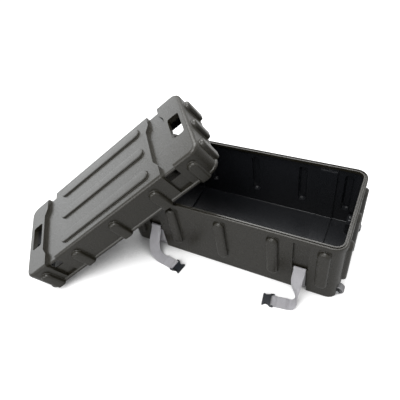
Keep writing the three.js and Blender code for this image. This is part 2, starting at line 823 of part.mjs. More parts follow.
// A bracket in its wheel's frame, nut side towards the middle of the tub.
function bracket() {
  const roofLow = roofFoot - wheelZ;
  const roofHigh = roofTop - wheelZ;
  const roof = box(-bracketBack, -bracketFront, -bracketHalf, bracketHalf, roofLow, roofHigh);
  const nose = Array.from({ length: edgeSteps * 2 + 1 }, (_, step) => {
    const angle = Math.PI * (step / (edgeSteps * 2) - 1 / 2);
    return [bracketNose * Math.cos(angle), bracketNose * Math.sin(angle)];
  });
  const outlinePoints = [
    [-bracketBack, roofHigh], [-bracketBack, roofHigh - cheekDepth], ...nose, [-bracketFront, roofHigh],
  ];
  const plate = onWall(
    prism(outlinePoints, -bracketHalf, -bracketHalf + bracketThickness),
    new THREE.Vector3(), new THREE.Vector3(1, 0, 0), new THREE.Vector3(0, 0, 1),
  );
  const boss = rod(spacerRadius, bearingOutside + clearance, bracketHalf - clearance, roundSteps);
  const cheek = plate.add(boss);
  return unite([roof, cheek, cheek.mirror([0, 1, 0])])
    .subtract(rod(bearingBore, -overrun, overrun));
}

const bearingOutside = wheelWidth / 2 - bearingInset;
const bearingInside = bearingOutside - bearingWidth;
const coreRadius = wheelRadius - tyreThickness;

// The parts of one wheel about its own axle.
function wheelParts() {
  const half = wheelWidth / 2;
  const tyre = turned([
    [coreRadius + clearance, -half], [wheelRadius - tyreRounding, -half], [wheelRadius, -half + tyreRounding],
    [wheelRadius, half - tyreRounding], [wheelRadius - tyreRounding, half], [coreRadius + clearance, half],
  ]);
  const seat = bearingRadius + runningGap;
  const step = bearingInside - clearance;
  const core = turned([
    [seat, -half], [coreRadius, -half], [coreRadius, half], [seat, half],
    [seat, step], [bearingRadius - shoulder, step], [bearingRadius - shoulder, -step], [seat, -step],
  ]);
  const bearing = turned([
    [bearingBore, bearingInside], [bearingRadius, bearingInside],
    [bearingRadius, bearingOutside], [bearingBore, bearingOutside],
  ]);
  const spacer = rod(spacerRadius, -step, step).subtract(rod(bearingBore, -half, half));
  const headFoot = bracketHalf + clearance;
  const bolt = rod(bearingBore - runningGap, -headFoot - nutHeight - boltTail, headFoot + boltHeadHeight)
    .add(rod(boltHeadRadius, headFoot, headFoot + boltHeadHeight));
  const nut = rod(nutRadius, -headFoot - nutHeight, -headFoot, nutSteps)
    .subtract(rod(bearingBore, -overrun, overrun));
  return { tyre, core, bearing, spacer, bolt, nut, bracket: bracket() };
}

const group = new THREE.Group();
group.name = 'drum_hardware_case';

group.add(node('base_shell', baseShell(), shellMaterial));
group.add(node('lid_shell', leaned(lidShell()), shellMaterial));

const rightRoute = [
  ...inFront(frontRight, strapOffset, socketRight),
  ...underTub(strapOffset),
  ...behindTub(strapOffset, plugRight),
];
const leftRoute = [
  ...inFront(frontLeft, -strapOffset, socketLeft),
  ...underTub(-strapOffset),
  ...behindTub(-strapOffset, plugLeft),
];
group.add(node('strap_right', strap(rightRoute), webbingMaterial));
group.add(node('strap_left', strap(leftRoute), webbingMaterial));
group.add(node('buckle_socket_right', laid(socket(), socketRight), buckleMaterial));
group.add(node('buckle_socket_left', laid(socket(), socketLeft), buckleMaterial));
group.add(node('buckle_plug_right', laid(plug(), plugRight), buckleMaterial));
group.add(node('buckle_plug_left', laid(plug(), plugLeft), buckleMaterial));

for (const [place, wheel] of [['front', -1], ['rear', 1]]) {
  const parts = wheelParts();
  const set = (name, solid, material) => {
    const turnedOut = wheel > 0 ? solid : solid.mirror([0, 1, 0]);
    group.add(node(`${name}_${place}`, moved(turnedOut, wheelX, wheel * wheelY, wheelZ), material));
  };
  const holes = rivetHoles(rivetRadius + clearance).translate([-wheelX, -wheelY, -wheelZ]);
  set('wheel_bracket', parts.bracket.subtract(holes), bracketMaterial);
  set('wheel_tyre', parts.tyre, tyreMaterial);
  set('wheel_core', parts.core, coreMaterial);
  set('wheel_bearing_inner', parts.bearing.mirror([0, 1, 0]), steelMaterial);
  set('wheel_bearing_outer', parts.bearing, steelMaterial);
  set('bearing_spacer', parts.spacer, steelMaterial);
  set('axle_bolt', parts.bolt, steelMaterial);
  set('axle_nut', parts.nut, steelMaterial);
  const places = rivetPlaces().filter(([, y]) => y * wheel > 0);
  places.forEach(([x, y], index) => {
    group.add(node(`rivet_${place}_${index + 1}`, rivet(x, y), steelMaterial));
  });
}

export default group;
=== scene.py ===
import math

import bmesh
import bpy
import numpy as np
from mathutils import Matrix, Vector


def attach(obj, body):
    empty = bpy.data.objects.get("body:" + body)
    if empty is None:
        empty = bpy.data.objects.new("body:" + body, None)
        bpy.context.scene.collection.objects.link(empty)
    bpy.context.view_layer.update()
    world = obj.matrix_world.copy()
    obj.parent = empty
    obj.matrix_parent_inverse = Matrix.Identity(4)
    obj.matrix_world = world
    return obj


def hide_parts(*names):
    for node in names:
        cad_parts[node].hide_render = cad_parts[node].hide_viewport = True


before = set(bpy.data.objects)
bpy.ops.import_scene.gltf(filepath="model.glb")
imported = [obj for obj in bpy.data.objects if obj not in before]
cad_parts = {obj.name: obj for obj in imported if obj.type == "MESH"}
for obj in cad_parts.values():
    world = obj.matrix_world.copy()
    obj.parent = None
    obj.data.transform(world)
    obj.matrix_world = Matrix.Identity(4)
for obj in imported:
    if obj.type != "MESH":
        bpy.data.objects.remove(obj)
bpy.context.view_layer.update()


# Camera: it stands where the photograph was taken from, found from the straight
# edges of the tub and the lid. Its focal length is in pixels of the square frame.
camera_place = Vector((0.4921, -0.9840, 1.3827))
camera_right = Vector((0.887612, 0.437243, -0.144788))
camera_down = Vector((0.233097, -0.697557, -0.677554))
focal_pixels, frame_pixels = 388.06, 400
sensor_width, sight_end = 36, 60

camera_data = bpy.data.cameras.new("photo_camera")
camera_data.sensor_width = sensor_width
camera_data.lens = focal_pixels / frame_pixels * sensor_width
camera_data.clip_end = sight_end
camera = bpy.data.objects.new("photo_camera", camera_data)
bpy.context.scene.collection.objects.link(camera)
axes = Matrix((camera_right, -camera_down, camera_right.cross(-camera_down))).transposed()
camera.matrix_world = Matrix.Translation(camera_place) @ axes.to_4x4()
bpy.context.scene.camera = camera
bpy.context.scene.view_settings.view_transform = "Standard"


# Studio: a pale floor that runs out of sight and four soft lamps: one low at the
# back left that the lid's top mirrors, two overhead and a weak one in front. The
# floor shows white and keeps the object's shadow; where it is shut in, its glow is
# dimmed by ambient occlusion, which is painted shade.
def studio_lamp(name, place, aim, size, watts, colour=(1, 1, 1)):
    lamp_data = bpy.data.lights.new(name, "AREA")
    lamp_data.shape = "RECTANGLE"
    lamp_data.size, lamp_data.size_y = size
    lamp_data.energy = watts
    lamp_data.color = colour
    lamp = bpy.data.objects.new(name, lamp_data)
    bpy.context.scene.collection.objects.link(lamp)
    lamp.location = place
    lamp.rotation_euler = (Vector(aim) - Vector(place)).to_track_quat("-Z", "Y").to_euler()


cool_white = (0.94, 0.97, 1.0)
studio_lamp("back_left_softbox", (-3.9, 0.45, 1.05), (-0.3, -0.1, 0.25), (4.5, 2.2), 69, cool_white)
studio_lamp("overhead_softbox", (-0.8, 1.5, 2.9), (-0.1, 0.0, 0.3), (2.6, 2.0), 98)
studio_lamp("top_softbox", (0.1, -0.9, 3.1), (0.0, -0.1, 0.2), (1.6, 1.6), 46)
studio_lamp("front_softbox", (-0.65, -3.15, 1.55), (-0.1, 0.0, 0.2), (2.4, 1.4), 31)


def feed(tree, socket, source):
    """Link the socket to another node's output, or set it to a plain value."""
    if isinstance(source, bpy.types.NodeSocket):
        tree.links.new(source, socket)
    else:
        socket.default_value = source


def math_node(tree, operation, *operands):
    node = tree.nodes.new("ShaderNodeMath")
    node.operation = operation
    for socket, operand in zip(node.inputs, operands):
        feed(tree, socket, operand)
    return node.outputs["Value"]


def map_range(tree, value, start, stop, low=0.0, high=1.0, curve="LINEAR"):
    """The value's run from start to stop, spread over low to high and held there beyond it."""
    node = tree.nodes.new("ShaderNodeMapRange")
    node.interpolation_type = curve
    feed(tree, node.inputs["Value"], value)
    feed(tree, node.inputs["From Min"], start)
    feed(tree, node.inputs["From Max"], stop)
    feed(tree, node.inputs["To Min"], low)
    feed(tree, node.inputs["To Max"], high)
    return node.outputs["Result"]


floor_reach = 9
floor_grey = 0.52
floor_shown, floor_mirrored = 0.88, 0.2
shade_reach, shade_samples = 0.6, 16
shut_in, in_the_open = 0.15, 0.55

floor_mesh = bpy.data.meshes.new("floor")
floor_corners = [(x * floor_reach, y * floor_reach, 0) for x, y in ((-1, -1), (1, -1), (1, 1), (-1, 1))]
floor_mesh.from_pydata(floor_corners, [], [(0, 1, 2, 3)])
floor = bpy.data.objects.new("floor", floor_mesh)
bpy.context.scene.collection.objects.link(floor)
floor_paint = bpy.data.materials.new("floor_paint")
floor_paint.use_nodes = True
tree = floor_paint.node_tree
tree.nodes.clear()
paint = tree.nodes.new("ShaderNodeBsdfDiffuse")
paint.inputs["Color"].default_value = (floor_grey, floor_grey, floor_grey, 1)
seen = tree.nodes.new("ShaderNodeLightPath")
mirrored = math_node(tree, "MULTIPLY", seen.outputs["Is Glossy Ray"], floor_mirrored)
shown = math_node(tree, "MULTIPLY_ADD", seen.outputs["Is Camera Ray"], floor_shown, mirrored)
# Painted shade: the floor's glow is dimmed by ambient occlusion where it is shut in.
around = tree.nodes.new("ShaderNodeAmbientOcclusion")
around.samples = shade_samples
around.inputs["Distance"].default_value = shade_reach
openness = map_range(tree, around.outputs["AO"], shut_in, in_the_open, curve="SMOOTHSTEP")
glow = tree.nodes.new("ShaderNodeEmission")
feed(tree, glow.inputs["Strength"], math_node(tree, "MULTIPLY", shown, openness))
both = tree.nodes.new("ShaderNodeAddShader")
feed(tree, both.inputs[0], paint.outputs["BSDF"])
feed(tree, both.inputs[1], glow.outputs["Emission"])
feed(tree, tree.nodes.new("ShaderNodeOutputMaterial").inputs["Surface"], both.outputs["Shader"])
floor_mesh.materials.append(floor_paint)

room_light, room_seen = 0.24, 1.0
world = bpy.data.worlds.new("studio_world")
world.use_nodes = True
bpy.context.scene.world = world
tree = world.node_tree
tree.nodes.clear()
seen = tree.nodes.new("ShaderNodeLightPath")
in_view = math_node(tree, "MAXIMUM", seen.outputs["Is Camera Ray"], seen.outputs["Is Glossy Ray"])
in_view = math_node(tree, "MAXIMUM", in_view, seen.outputs["Is Transmission Ray"])
sky = tree.nodes.new("ShaderNodeBackground")
sky.inputs["Color"].default_value = (1, 1, 1, 1)
feed(tree, sky.inputs["Strength"], map_range(tree, in_view, 0, 1, room_light, room_seen))
feed(tree, tree.nodes.new("ShaderNodeOutputWorld").inputs["Surface"], sky.outputs["Background"])


# Tub: one rotomoulded shell of dark polyethylene, ribbed on all four walls. Its edges
# are broken as a mould breaks them, and its skin has a fine pebble, a slight orange
# peel and the faint cloudiness of moulded plastic. The hollow is smoother, and its
# darker colour is painted shade.
def shader_group(name, inputs, outputs):
    """A node group and the sockets of its ends; a triple makes a vector input, a number a float one."""
    group = bpy.data.node_groups.new(name, "ShaderNodeTree")
    for label, value in inputs.items():
        kind = "NodeSocketVector" if isinstance(value, tuple) else "NodeSocketFloat"
        group.interface.new_socket(label, in_out="INPUT", socket_type=kind).default_value = value
    for label in outputs:
        group.interface.new_socket(label, in_out="OUTPUT", socket_type="NodeSocketFloat")
    return group, group.nodes.new("NodeGroupInput").outputs, group.nodes.new("NodeGroupOutput").inputs


def placed_group(tree, group, sources):
    node = tree.nodes.new("ShaderNodeGroup")
    node.node_tree = group
    for label, source in sources.items():
        feed(tree, node.inputs[label], source)
    return node.outputs


def noise(tree, place, scale, detail=2, roughness=0.5):
    node = tree.nodes.new("ShaderNodeTexNoise")
    feed(tree, node.inputs["Vector"], place)
    feed(tree, node.inputs["Scale"], scale)
    node.inputs["Detail"].default_value = detail
    node.inputs["Roughness"].default_value = roughness
    return node.outputs["Fac"]


def colour_mix(tree, share, one, other, blend="MIX"):
    node = tree.nodes.new("ShaderNodeMix")
    node.data_type = "RGBA"
    node.blend_type = blend
    feed(tree, node.inputs["Factor"], share)
    feed(tree, node.inputs["A"], one)
    feed(tree, node.inputs["B"], other)
    return node.outputs["Result"]


def bumped(tree, shader, height, strength, distance):
    node = tree.nodes.new("ShaderNodeBump")
    node.inputs["Strength"].default_value = strength
    node.inputs["Distance"].default_value = distance
    feed(tree, node.inputs["Height"], height)
    feed(tree, shader.inputs["Normal"], node.outputs["Normal"])


def new_material(name):
    material = bpy.data.materials.new(name)
    material.use_nodes = True
    tree = material.node_tree
    place = tree.nodes.new("ShaderNodeTexCoord").outputs["Object"]
    return material, tree, tree.nodes["Principled BSDF"], place


# Grain, from a place in metres: the height is fine noise with a pebble of rounded cells and a coarser
# orange peel added. The cloud is a slow drift of tone. The peel is also given out by itself.
pebble_scale, pebble_weight = 420, 0.45
peel_to_fine, peel_weight, peel_low, peel_high = 0.28, 0.5, 0.36, 0.64
grain, grain_in, grain_out = shader_group(
    "moulded_grain", {"Vector": (0, 0, 0), "Fine Scale": 900, "Cloud Scale": 7}, ("Height", "Cloud", "Peel")
)
fine = noise(grain, grain_in["Vector"], grain_in["Fine Scale"], detail=3, roughness=0.6)
pebble = grain.nodes.new("ShaderNodeTexVoronoi")
pebble.feature = "SMOOTH_F1"
pebble.inputs["Scale"].default_value = pebble_scale
feed(grain, pebble.inputs["Vector"], grain_in["Vector"])
pebbled = math_node(grain, "MULTIPLY_ADD", pebble.outputs["Distance"], pebble_weight, fine)
peel_scale = math_node(grain, "MULTIPLY", grain_in["Fine Scale"], peel_to_fine)
peel = map_range(grain, noise(grain, grain_in["Vector"], peel_scale), peel_low, peel_high)
cloud = noise(grain, grain_in["Vector"], grain_in["Cloud Scale"], detail=4, roughness=0.55)
feed(grain, grain_out["Height"], math_node(grain, "MULTIPLY_ADD", peel, peel_weight, pebbled))
feed(grain, grain_out["Cloud"], cloud)
feed(grain, grain_out["Peel"], peel)

# Scuffs: short scratches, drawn out along one way by a stretched noise and kept where a second
# noise is high.
scratch_turn, scratch_stretch = (0.5, 0.9, 0.4), (9, 240, 240)
streak_low, streak_high = 0.66, 0.74
patch_scale, patch_low, patch_high = 16, 0.52, 0.68
scuffs, scuffs_in, scuffs_out = shader_group("rubbed_marks", {"Vector": (0, 0, 0), "Amount": 0.5}, ("Mask",))
stretch = scuffs.nodes.new("ShaderNodeMapping")
stretch.inputs["Rotation"].default_value = scratch_turn
stretch.inputs["Scale"].default_value = scratch_stretch
feed(scuffs, stretch.inputs["Vector"], scuffs_in["Vector"])
streak = map_range(scuffs, noise(scuffs, stretch.outputs["Vector"], 1), streak_low, streak_high)
patch = map_range(scuffs, noise(scuffs, scuffs_in["Vector"], patch_scale), patch_low, patch_high)
rubbed = math_node(scuffs, "MULTIPLY", streak, patch)
feed(scuffs, scuffs_out["Mask"], math_node(scuffs, "MULTIPLY", rubbed, scuffs_in["Amount"]))

scratch_paleness = 2.6
peel_smoother, peel_rougher = 0.05, 0.06
grain_height = 0.0004


def moulded_plastic(name, dark, light, rough, fine_scale, bump, marks):
    """Plastic: the cloud takes it from dark to light, scratches pale it, and the peel changes its gloss."""
    material, tree, shader, place = new_material(name)
    skin = placed_group(tree, grain, {"Vector": place, "Fine Scale": fine_scale})
    scratched = placed_group(tree, scuffs, {"Vector": place, "Amount": marks})
    scratch = [min(1.0, scratch_paleness * part) for part in light]
    tone = colour_mix(tree, skin["Cloud"], (*dark, 1), (*light, 1))
    feed(tree, shader.inputs["Base Color"], colour_mix(tree, scratched["Mask"], tone, (*scratch, 1)))
    gloss = map_range(tree, skin["Peel"], 0, 1, rough - peel_smoother, rough + peel_rougher)
    feed(tree, shader.inputs["Roughness"], gloss)
    bumped(tree, shader, skin["Height"], bump, grain_height)
    return material


shell_plastic = moulded_plastic(
    "shell_plastic", dark=(0.0095, 0.0080, 0.0042), light=(0.0195, 0.0172, 0.0108),
    rough=0.31, fine_scale=900, bump=0.35, marks=0.14,
)
# Painted shade: the hollow's plastic is darker than the shell's and stands in for the shade inside it. It is
# also smoother, with a finer grain.
hollow_shade_plastic = moulded_plastic(
    "hollow_shade_plastic", dark=(0.009, 0.010, 0.012), light=(0.014, 0.015, 0.018),
    rough=0.30, fine_scale=1400, bump=0.1, marks=0.1,
)


def inner_faces(mesh, inside, shut):
    """Which faces line the hollow: the inside mask spreads over shared edges, but never into shut faces."""
    loop_edge = np.empty(len(mesh.loops), np.int32)
    mesh.loops.foreach_get("edge_index", loop_edge)
    corners = np.empty(len(mesh.polygons), np.int32)
    mesh.polygons.foreach_get("loop_total", corners)
    face = np.repeat(np.arange(len(mesh.polygons)), corners)
    order = np.argsort(loop_edge, kind="stable")
    shared = np.nonzero(loop_edge[order][1:] == loop_edge[order][:-1])[0]
    one, other = face[order][shared], face[order][shared + 1]
    while True:
        grown = inside.copy()
        grown[one[inside[other]]] = True
        grown[other[inside[one]]] = True
        grown &= ~shut
        if (grown == inside).all():
            return inside
        inside = grown


def paint_hollow_shade(piece, seed, shut):
    """Give the painted-shade plastic to the faces that the seed reaches without crossing the shut ones."""
    inside = inner_faces(piece.data, seed, shut)
    piece.data.materials.append(hollow_shade_plastic)
    piece.data.polygons.foreach_set("material_index", inside.astype(np.int32))


def face_vectors(mesh, kind):
    """Each face's centre or normal, as rows of x, y and z."""
    rows = np.empty(3 * len(mesh.polygons), np.float32)
    mesh.polygons.foreach_get(kind, rows)
    return rows.reshape(-1, 3)


def near(values, place, reach):
    return np.abs(values - place) < reach


merge_distance, sliver = 2e-5, 1e-6
flat_angle, edge_angle = math.radians(0.6), math.radians(32)


def eased_copy(node, name, material, body, width):
    """The node's solid with its doubles merged and its edges rounded, shaded smooth over them."""
    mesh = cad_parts[node].data.copy()
    mesh.name = name
    work = bmesh.new()
    work.from_mesh(mesh)
    bmesh.ops.remove_doubles(work, verts=work.verts, dist=merge_distance)
    bmesh.ops.dissolve_degenerate(work, edges=work.edges, dist=sliver)
    bmesh.ops.dissolve_limit(
        work, angle_limit=flat_angle, use_dissolve_boundaries=False, verts=work.verts, edges=work.edges
    )
    work.to_mesh(mesh)
    work.free()
    mesh.materials.clear()
    mesh.materials.append(material)
    mesh.shade_smooth()
    piece = bpy.data.objects.new(name, mesh)
    bpy.context.scene.collection.objects.link(piece)
    ease = piece.modifiers.new("eased_edges", "BEVEL")
    ease.limit_method = "ANGLE"
    ease.angle_limit = edge_angle
    ease.width = width
    ease.segments = 2
    ease.use_clamp_overlap = True
    ease.miter_outer = "MITER_ARC"
    flat = piece.modifiers.new("flat_faces", "WEIGHTED_NORMAL")
    flat.keep_sharp = True
    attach(piece, body)
    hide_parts(node)
    return piece


# The tub's hollow, which is darkened with painted shade, is found from the middle of its
# floor. It ends at the rim and at the rivet holes through the roofs of the wheel pockets.
shell_edge = 0.0012
tub_floor, floor_close, middle_half, tub_rim = 0.005, 0.0002, 0.25, 0.3002
pocket_roof, roof_half, rivet_line, rivet_row, rivet_reach = 0.0638, 0.0018, 0.416, 0.156, 0.014

tub = eased_copy("base_shell", "tub", shell_plastic, "tub", shell_edge)
x, y, z = face_vectors(tub.data, "center").T
floor_middle = near(z, tub_floor, floor_close) & near(x, 0, middle_half)
rivet_holes = near(z, pocket_roof, roof_half) & (x > rivet_line) & near(np.abs(y), rivet_row, rivet_reach)
paint_hollow_shade(tub, floor_middle, (z > tub_rim) | rivet_holes)


# Upright ribs: the same plastic, drawn out of the wall as round-headed pads 46 mm
# wide. Each has a soft root and a round shoulder that runs up to a slightly crowned
# face. This skin lies 0.2 mm over the solid's faceted ribs.
rib_skin_up, rib_skin_thick = 0.0002, 0.001
shoulder_power, shoulder_start, shoulder_steps = 2.2, 0.12, 9
root_out, root_up = np.array([1.0, 0.55, 0.22, 0.05]), np.array([-0.25, 0.12, 0.5, 1.0])
root_clearance = 0.0005
crown_steps, crown_slope, crown_middle = 4, 0.02, 0.0015
head_steps = 17
sharp_edge = math.radians(50)


def rib_rings(half, proud, rounding, root):
    """How far each ring of a rib's skin lies in from its edge and up from the wall.

    From the root inwards the outer rings rise on a quarter of a superellipse, then over a slightly crowned
    face. The inner rings are the same ones, a skin's thickness further in and lower.
    """
    turn = np.linspace(shoulder_start, math.pi / 2, shoulder_steps)
    inset = rounding * (1 - np.cos(turn) ** (2 / shoulder_power)) - rib_skin_up
    rise = proud * np.sin(turn) ** (2 / shoulder_power) + rib_skin_up
    kept = rise > root * root_up[-1] + root_clearance
    crown = np.linspace(rounding, half - crown_middle, crown_steps)[1:]
    crown_rise = proud + rib_skin_up + crown_slope * (crown - rounding)
    inset = np.concatenate([-root * root_out, inset[kept], crown])
    rise = np.concatenate([root * root_up, rise[kept], crown_rise])
    inset = np.concatenate([inset[::-1] + rib_skin_thick, inset])
    rise = np.concatenate([rise[::-1] - rib_skin_thick, rise])
    return inset, rise


def rib_skin(middle, along, up, long_half, cut, section):
    """The points and faces of one rib's skin: a pad about its middle, with its width along and its length up.

    Each ring is a capsule, that is every point at one distance from the rib's middle line. A cut rib has its
    foot cut off square.
    """
    inset, rise = rib_rings(**section)
    radius = section["half"] - inset
    bend = np.linspace(0, math.pi, head_steps)
    reach = long_half - section["half"]
    head_u, head_v = radius[:, None] * np.cos(bend), reach + radius[:, None] * np.sin(bend)
    if cut:
        foot_v = np.full((len(radius), 1), -long_half)
        u = np.hstack([radius[:, None], head_u, -radius[:, None]])
        v = np.hstack([foot_v, head_v, foot_v])
    else:
        u, v = np.hstack([head_u, -head_u]), np.hstack([head_v, -head_v])
    out = np.cross(along, up)
    points = middle + u[..., None] * along + v[..., None] * up + rise[:, None, None] * out
    rings, count = u.shape
    grid = np.arange(rings * count).reshape(rings, count)
    last = count - 1 if cut else count
    here, ahead = grid[:-1], grid[1:]
    quads = np.stack([here, np.roll(here, -1, 1), np.roll(ahead, -1, 1), ahead], axis=2)[:, :last]
    faces = [*quads.reshape(-1, 4), grid[0], grid[-1]]
    if cut:
        faces.append(np.concatenate([grid[:, 0], grid[::-1, -1]]))
    return points.reshape(-1, 3), faces


def rib_skin_piece(name, pads, body, to_world=None):
    """All of a shell's rib skins as one piece that rides its body, turned and moved to the world if asked."""
    points, faces, start = [], [], 0
    for pad in pads:
        pad_points, pad_faces = rib_skin(*pad)
        points.append(pad_points)
        faces += [(start + face).tolist() for face in pad_faces]
        start += len(pad_points)
    points = np.vstack(points)
    if to_world is not None:
        points = points @ to_world[:3] + to_world[3]
    mesh = bpy.data.meshes.new(name)
    mesh.from_pydata(points.tolist(), [], faces)
    work = bmesh.new()
    work.from_mesh(mesh)
    bmesh.ops.recalc_face_normals(work, faces=work.faces)
    work.to_mesh(mesh)
    work.free()
    mesh.shade_smooth()
    mesh.set_sharp_from_angle(angle=sharp_edge)
    mesh.materials.append(shell_plastic)
    piece = bpy.data.objects.new(name, mesh)
    bpy.context.scene.collection.objects.link(piece)
    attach(piece, body)


wall_x, wall_y = 0.453, 0.196
long_wall_ribs, end_wall_ribs = (-0.391, -0.208, 0, 0.208, 0.391), (-0.130, 0, 0.130)
tub_rib_foot, tub_rib_top = 0.070, 0.283
upright = {"half": 0.023, "proud": 0.016, "rounding": 0.011, "root": 0.0022}


def wall_pads(foot, top, cut):
    """The pads of one shell: five on each long wall and three on each end wall, between two heights."""
    x_way, y_way, z_way = np.eye(3)
    height, long_half = (top + foot) / 2, (top - foot) / 2
    places = []
    for x in long_wall_ribs:
        places += [((x, -wall_y, height), x_way), ((x, wall_y, height), -x_way)]
    for y in end_wall_ribs:
        places += [((wall_x, y, height), y_way), ((-wall_x, y, height), -y_way)]
    return [(np.array(place), along, z_way, long_half, cut, upright) for place, along in places]


rib_skin_piece("tub_ribs", wall_pads(tub_rib_foot, tub_rib_top, cut=False), "tub")


# Lid: the second shell of the same plastic, lifted off and leaning on the tub. Its top
# has three long raised ribs, two strap channels and two grips cut through it. Its hollow,
# darkened with painted shade, is found from the middle of its ceiling, and ends at the
# rim, the grips and the slots.
lid_yaw, lid_lean = math.radians(39.6), math.radians(28.572)
lid_corner, lid_half = np.array([-0.779, -0.441, 0.0003]), 0.469
lid_ceiling, lid_rim = 0.125, 0.0002
ceiling_close, level_face, upright_face = 0.001, -0.9, 0.3
grip_x, grip_half_x, grip_half_y, grip_sill = 0.398, 0.0285, 0.0645, 0.107
slot_x, slot_half_x, slot_inner_y, slot_height, slot_half_z = 0.311, 0.0265, 0.150, 0.090, 0.017
lid_rib_top, long_rib_foot = 0.100, 0.130
long_rib_half, long_rib_rows = 0.235, (-0.1333, 0, 0.1333)
long_rib = {"half": 0.024, "proud": 0.008, "rounding": 0.004, "root": 0.0012}

lid = eased_copy("lid_shell", "lid", shell_plastic, "lid", shell_edge)
lid_across = np.array([-math.sin(lid_yaw), math.cos(lid_yaw), 0.0])
lid_ahead = np.array([
    math.cos(lid_yaw) * math.cos(lid_lean), math.sin(lid_yaw) * math.cos(lid_lean), math.sin(lid_lean),
])
lid_out = np.cross(lid_ahead, lid_across)
lid_middle = lid_corner + lid_half * lid_ahead
lid_turn = np.stack([lid_ahead, lid_across, lid_out], axis=1)
x, y, z = ((face_vectors(lid.data, "center") - lid_middle) @ lid_turn).T
_, normal_y, normal_z = (face_vectors(lid.data, "normal") @ lid_turn).T
ceiling = near(z, lid_ceiling, ceiling_close) & near(x, 0, middle_half) & (normal_z < level_face)
in_grip = near(np.abs(x), grip_x, grip_half_x) & near(y, 0, grip_half_y) & (z > grip_sill)
in_grip &= near(normal_z, 0, upright_face)
in_slot = near(np.abs(x), slot_x, slot_half_x) & (np.abs(y) > slot_inner_y)
in_slot &= near(z, slot_height, slot_half_z) & near(normal_y, 0, upright_face)
paint_hollow_shade(lid, ceiling, (z < lid_rim) | in_grip | in_slot)

lid_frame = np.stack([lid_ahead, lid_across, lid_out, lid_middle])
long_way, across_way = np.array([1.0, 0, 0]), np.array([0, -1.0, 0])
long_pads = [
    (np.array([0, row, long_rib_foot]), across_way, long_way, long_rib_half, False, long_rib)
    for row in long_rib_rows
]
rib_skin_piece("lid_ribs", wall_pads(0, lid_rib_top, cut=True) + long_pads, "lid", lid_frame)


# Straps: pale grey woven webbing, 45 mm wide. Each runs under the tub, over a keeper
# bar on either side, and is folded back and sewn round the bar of its buckle.
strap_wide, strap_thick = 0.045, 0.002
channel_deep, keeper_top = 0.011, 0.136
curve_steps, row_step = 12, 0.0025
bend_steps, corner_steps = 9, 6


def catmull_rom(points, values, per_span):
    """Centripetal Catmull-Rom curve through the points, with the values carried in straight lines.

    Each span blends the lines through its four nearest points, with knots spaced by the square root of
    their distance.
    """
    shortest_knot = 1e-4
    first = 2 * points[0] - points[1]
    last = 2 * points[-1] - points[-2]
    padded = np.vstack([first, points, last])
    p0, p1, p2, p3 = (padded[i:len(padded) - 3 + i, None, :] for i in range(4))

    def knot(a, b):
        return np.maximum(np.linalg.norm(b - a, axis=2, keepdims=True) ** 0.5, shortest_knot)

    t1 = knot(p0, p1)
    t2 = t1 + knot(p1, p2)
    t3 = t2 + knot(p2, p3)
    share = np.linspace(0, 1, per_span, endpoint=False)[None, :, None]
    t = t1 + (t2 - t1) * share
    a1 = (t1 - t) / t1 * p0 + t / t1 * p1
    a2 = (t2 - t) / (t2 - t1) * p1 + (t - t1) / (t2 - t1) * p2
    a3 = (t3 - t) / (t3 - t2) * p2 + (t - t2) / (t3 - t2) * p3
    b1 = (t2 - t) / t2 * a1 + t / t2 * a2
    b2 = (t3 - t) / (t3 - t1) * a2 + (t - t1) / (t3 - t1) * a3
    curve = ((t2 - t) / (t2 - t1) * b1 + (t - t1) / (t2 - t1) * b2).reshape(-1, points.shape[1])
    carried = (values[:-1, None, :] * (1 - share) + values[1:, None, :] * share).reshape(-1, values.shape[1])
    return np.vstack([curve, points[-1]]), np.vstack([carried, values[-1]])


def evenly(curve, carried, step):
    """The same line with points at equal distances along it."""
    along = np.concatenate([[0], np.cumsum(np.linalg.norm(np.diff(curve, axis=0), axis=1))])
    places = np.linspace(0, along[-1], int(round(along[-1] / step)) + 1)

    def resampled(rows):
        return np.stack([np.interp(places, along, column) for column in rows.T], axis=1)

    return resampled(curve), resampled(carried), places


def round_bar(bar, heading, folded):
    """From the cut end on top, back to the bar, half a turn round it and away below.

    Like every route, it is rows of a place and the way of the band's width there.
    """
    bend, layer_up, swell = 0.0035, 0.0027, 0.0003
    straight_start, straight_end = 0.024, 0.012
    ahead = np.array([math.cos(heading), math.sin(heading), 0.0])
    across = np.array([-ahead[1], ahead[0], 0.0])
    angle = np.linspace(math.pi / 2, -math.pi / 2, bend_steps)
    low = bar[2] - bend
    top = low + layer_up
    over_top = [-folded, -folded / 2, -straight_start, -straight_end]
    reach = np.concatenate([over_top, bend * np.cos(angle), [-straight_end]])
    height = np.concatenate([[top, top, top, top + swell], bar[2] + bend * np.sin(angle), [low]])
    place = np.array([bar[0], bar[1], 0]) + reach[:, None] * ahead + height[:, None] * [0, 0, 1]
    return np.hstack([place, np.tile(across, (len(place), 1))])


def under_the_tub(x):
    """Over the front keeper, down its channel, under the tub and up to the rear keeper."""
    bend, stand_off = 0.004, 0.0045
    keeper_in, corner_round, corner_high, channel_low = 0.0025, 0.007, 0.018, 0.077
    plane = wall_y - channel_deep + stand_off
    turn = corner_round + stand_off
    over = np.linspace(0, math.pi, bend_steps)
    corner = np.linspace(0, math.pi / 2, corner_steps)
    over_out, over_up = wall_y - keeper_in + bend * np.cos(over), keeper_top + bend * np.sin(over)
    corner_out, corner_up = plane - turn + turn * np.cos(corner), corner_high - turn * np.sin(corner)
    out = np.concatenate([over_out, [plane], corner_out])
    up = np.concatenate([over_up, [channel_low], corner_up])
    front = np.stack([np.full_like(out, x), -out, up], axis=1)
    run_half, run_low = (plane - turn) / 2, corner_high - turn
    under = np.array([[x, -run_half, run_low], [x, 0, run_low], [x, run_half, run_low]])
    rear = (front * [1, -1, 1])[::-1]
    place = np.vstack([front, under, rear])
    return np.hstack([place, np.tile([1.0, 0.0, 0.0], (len(place), 1))])


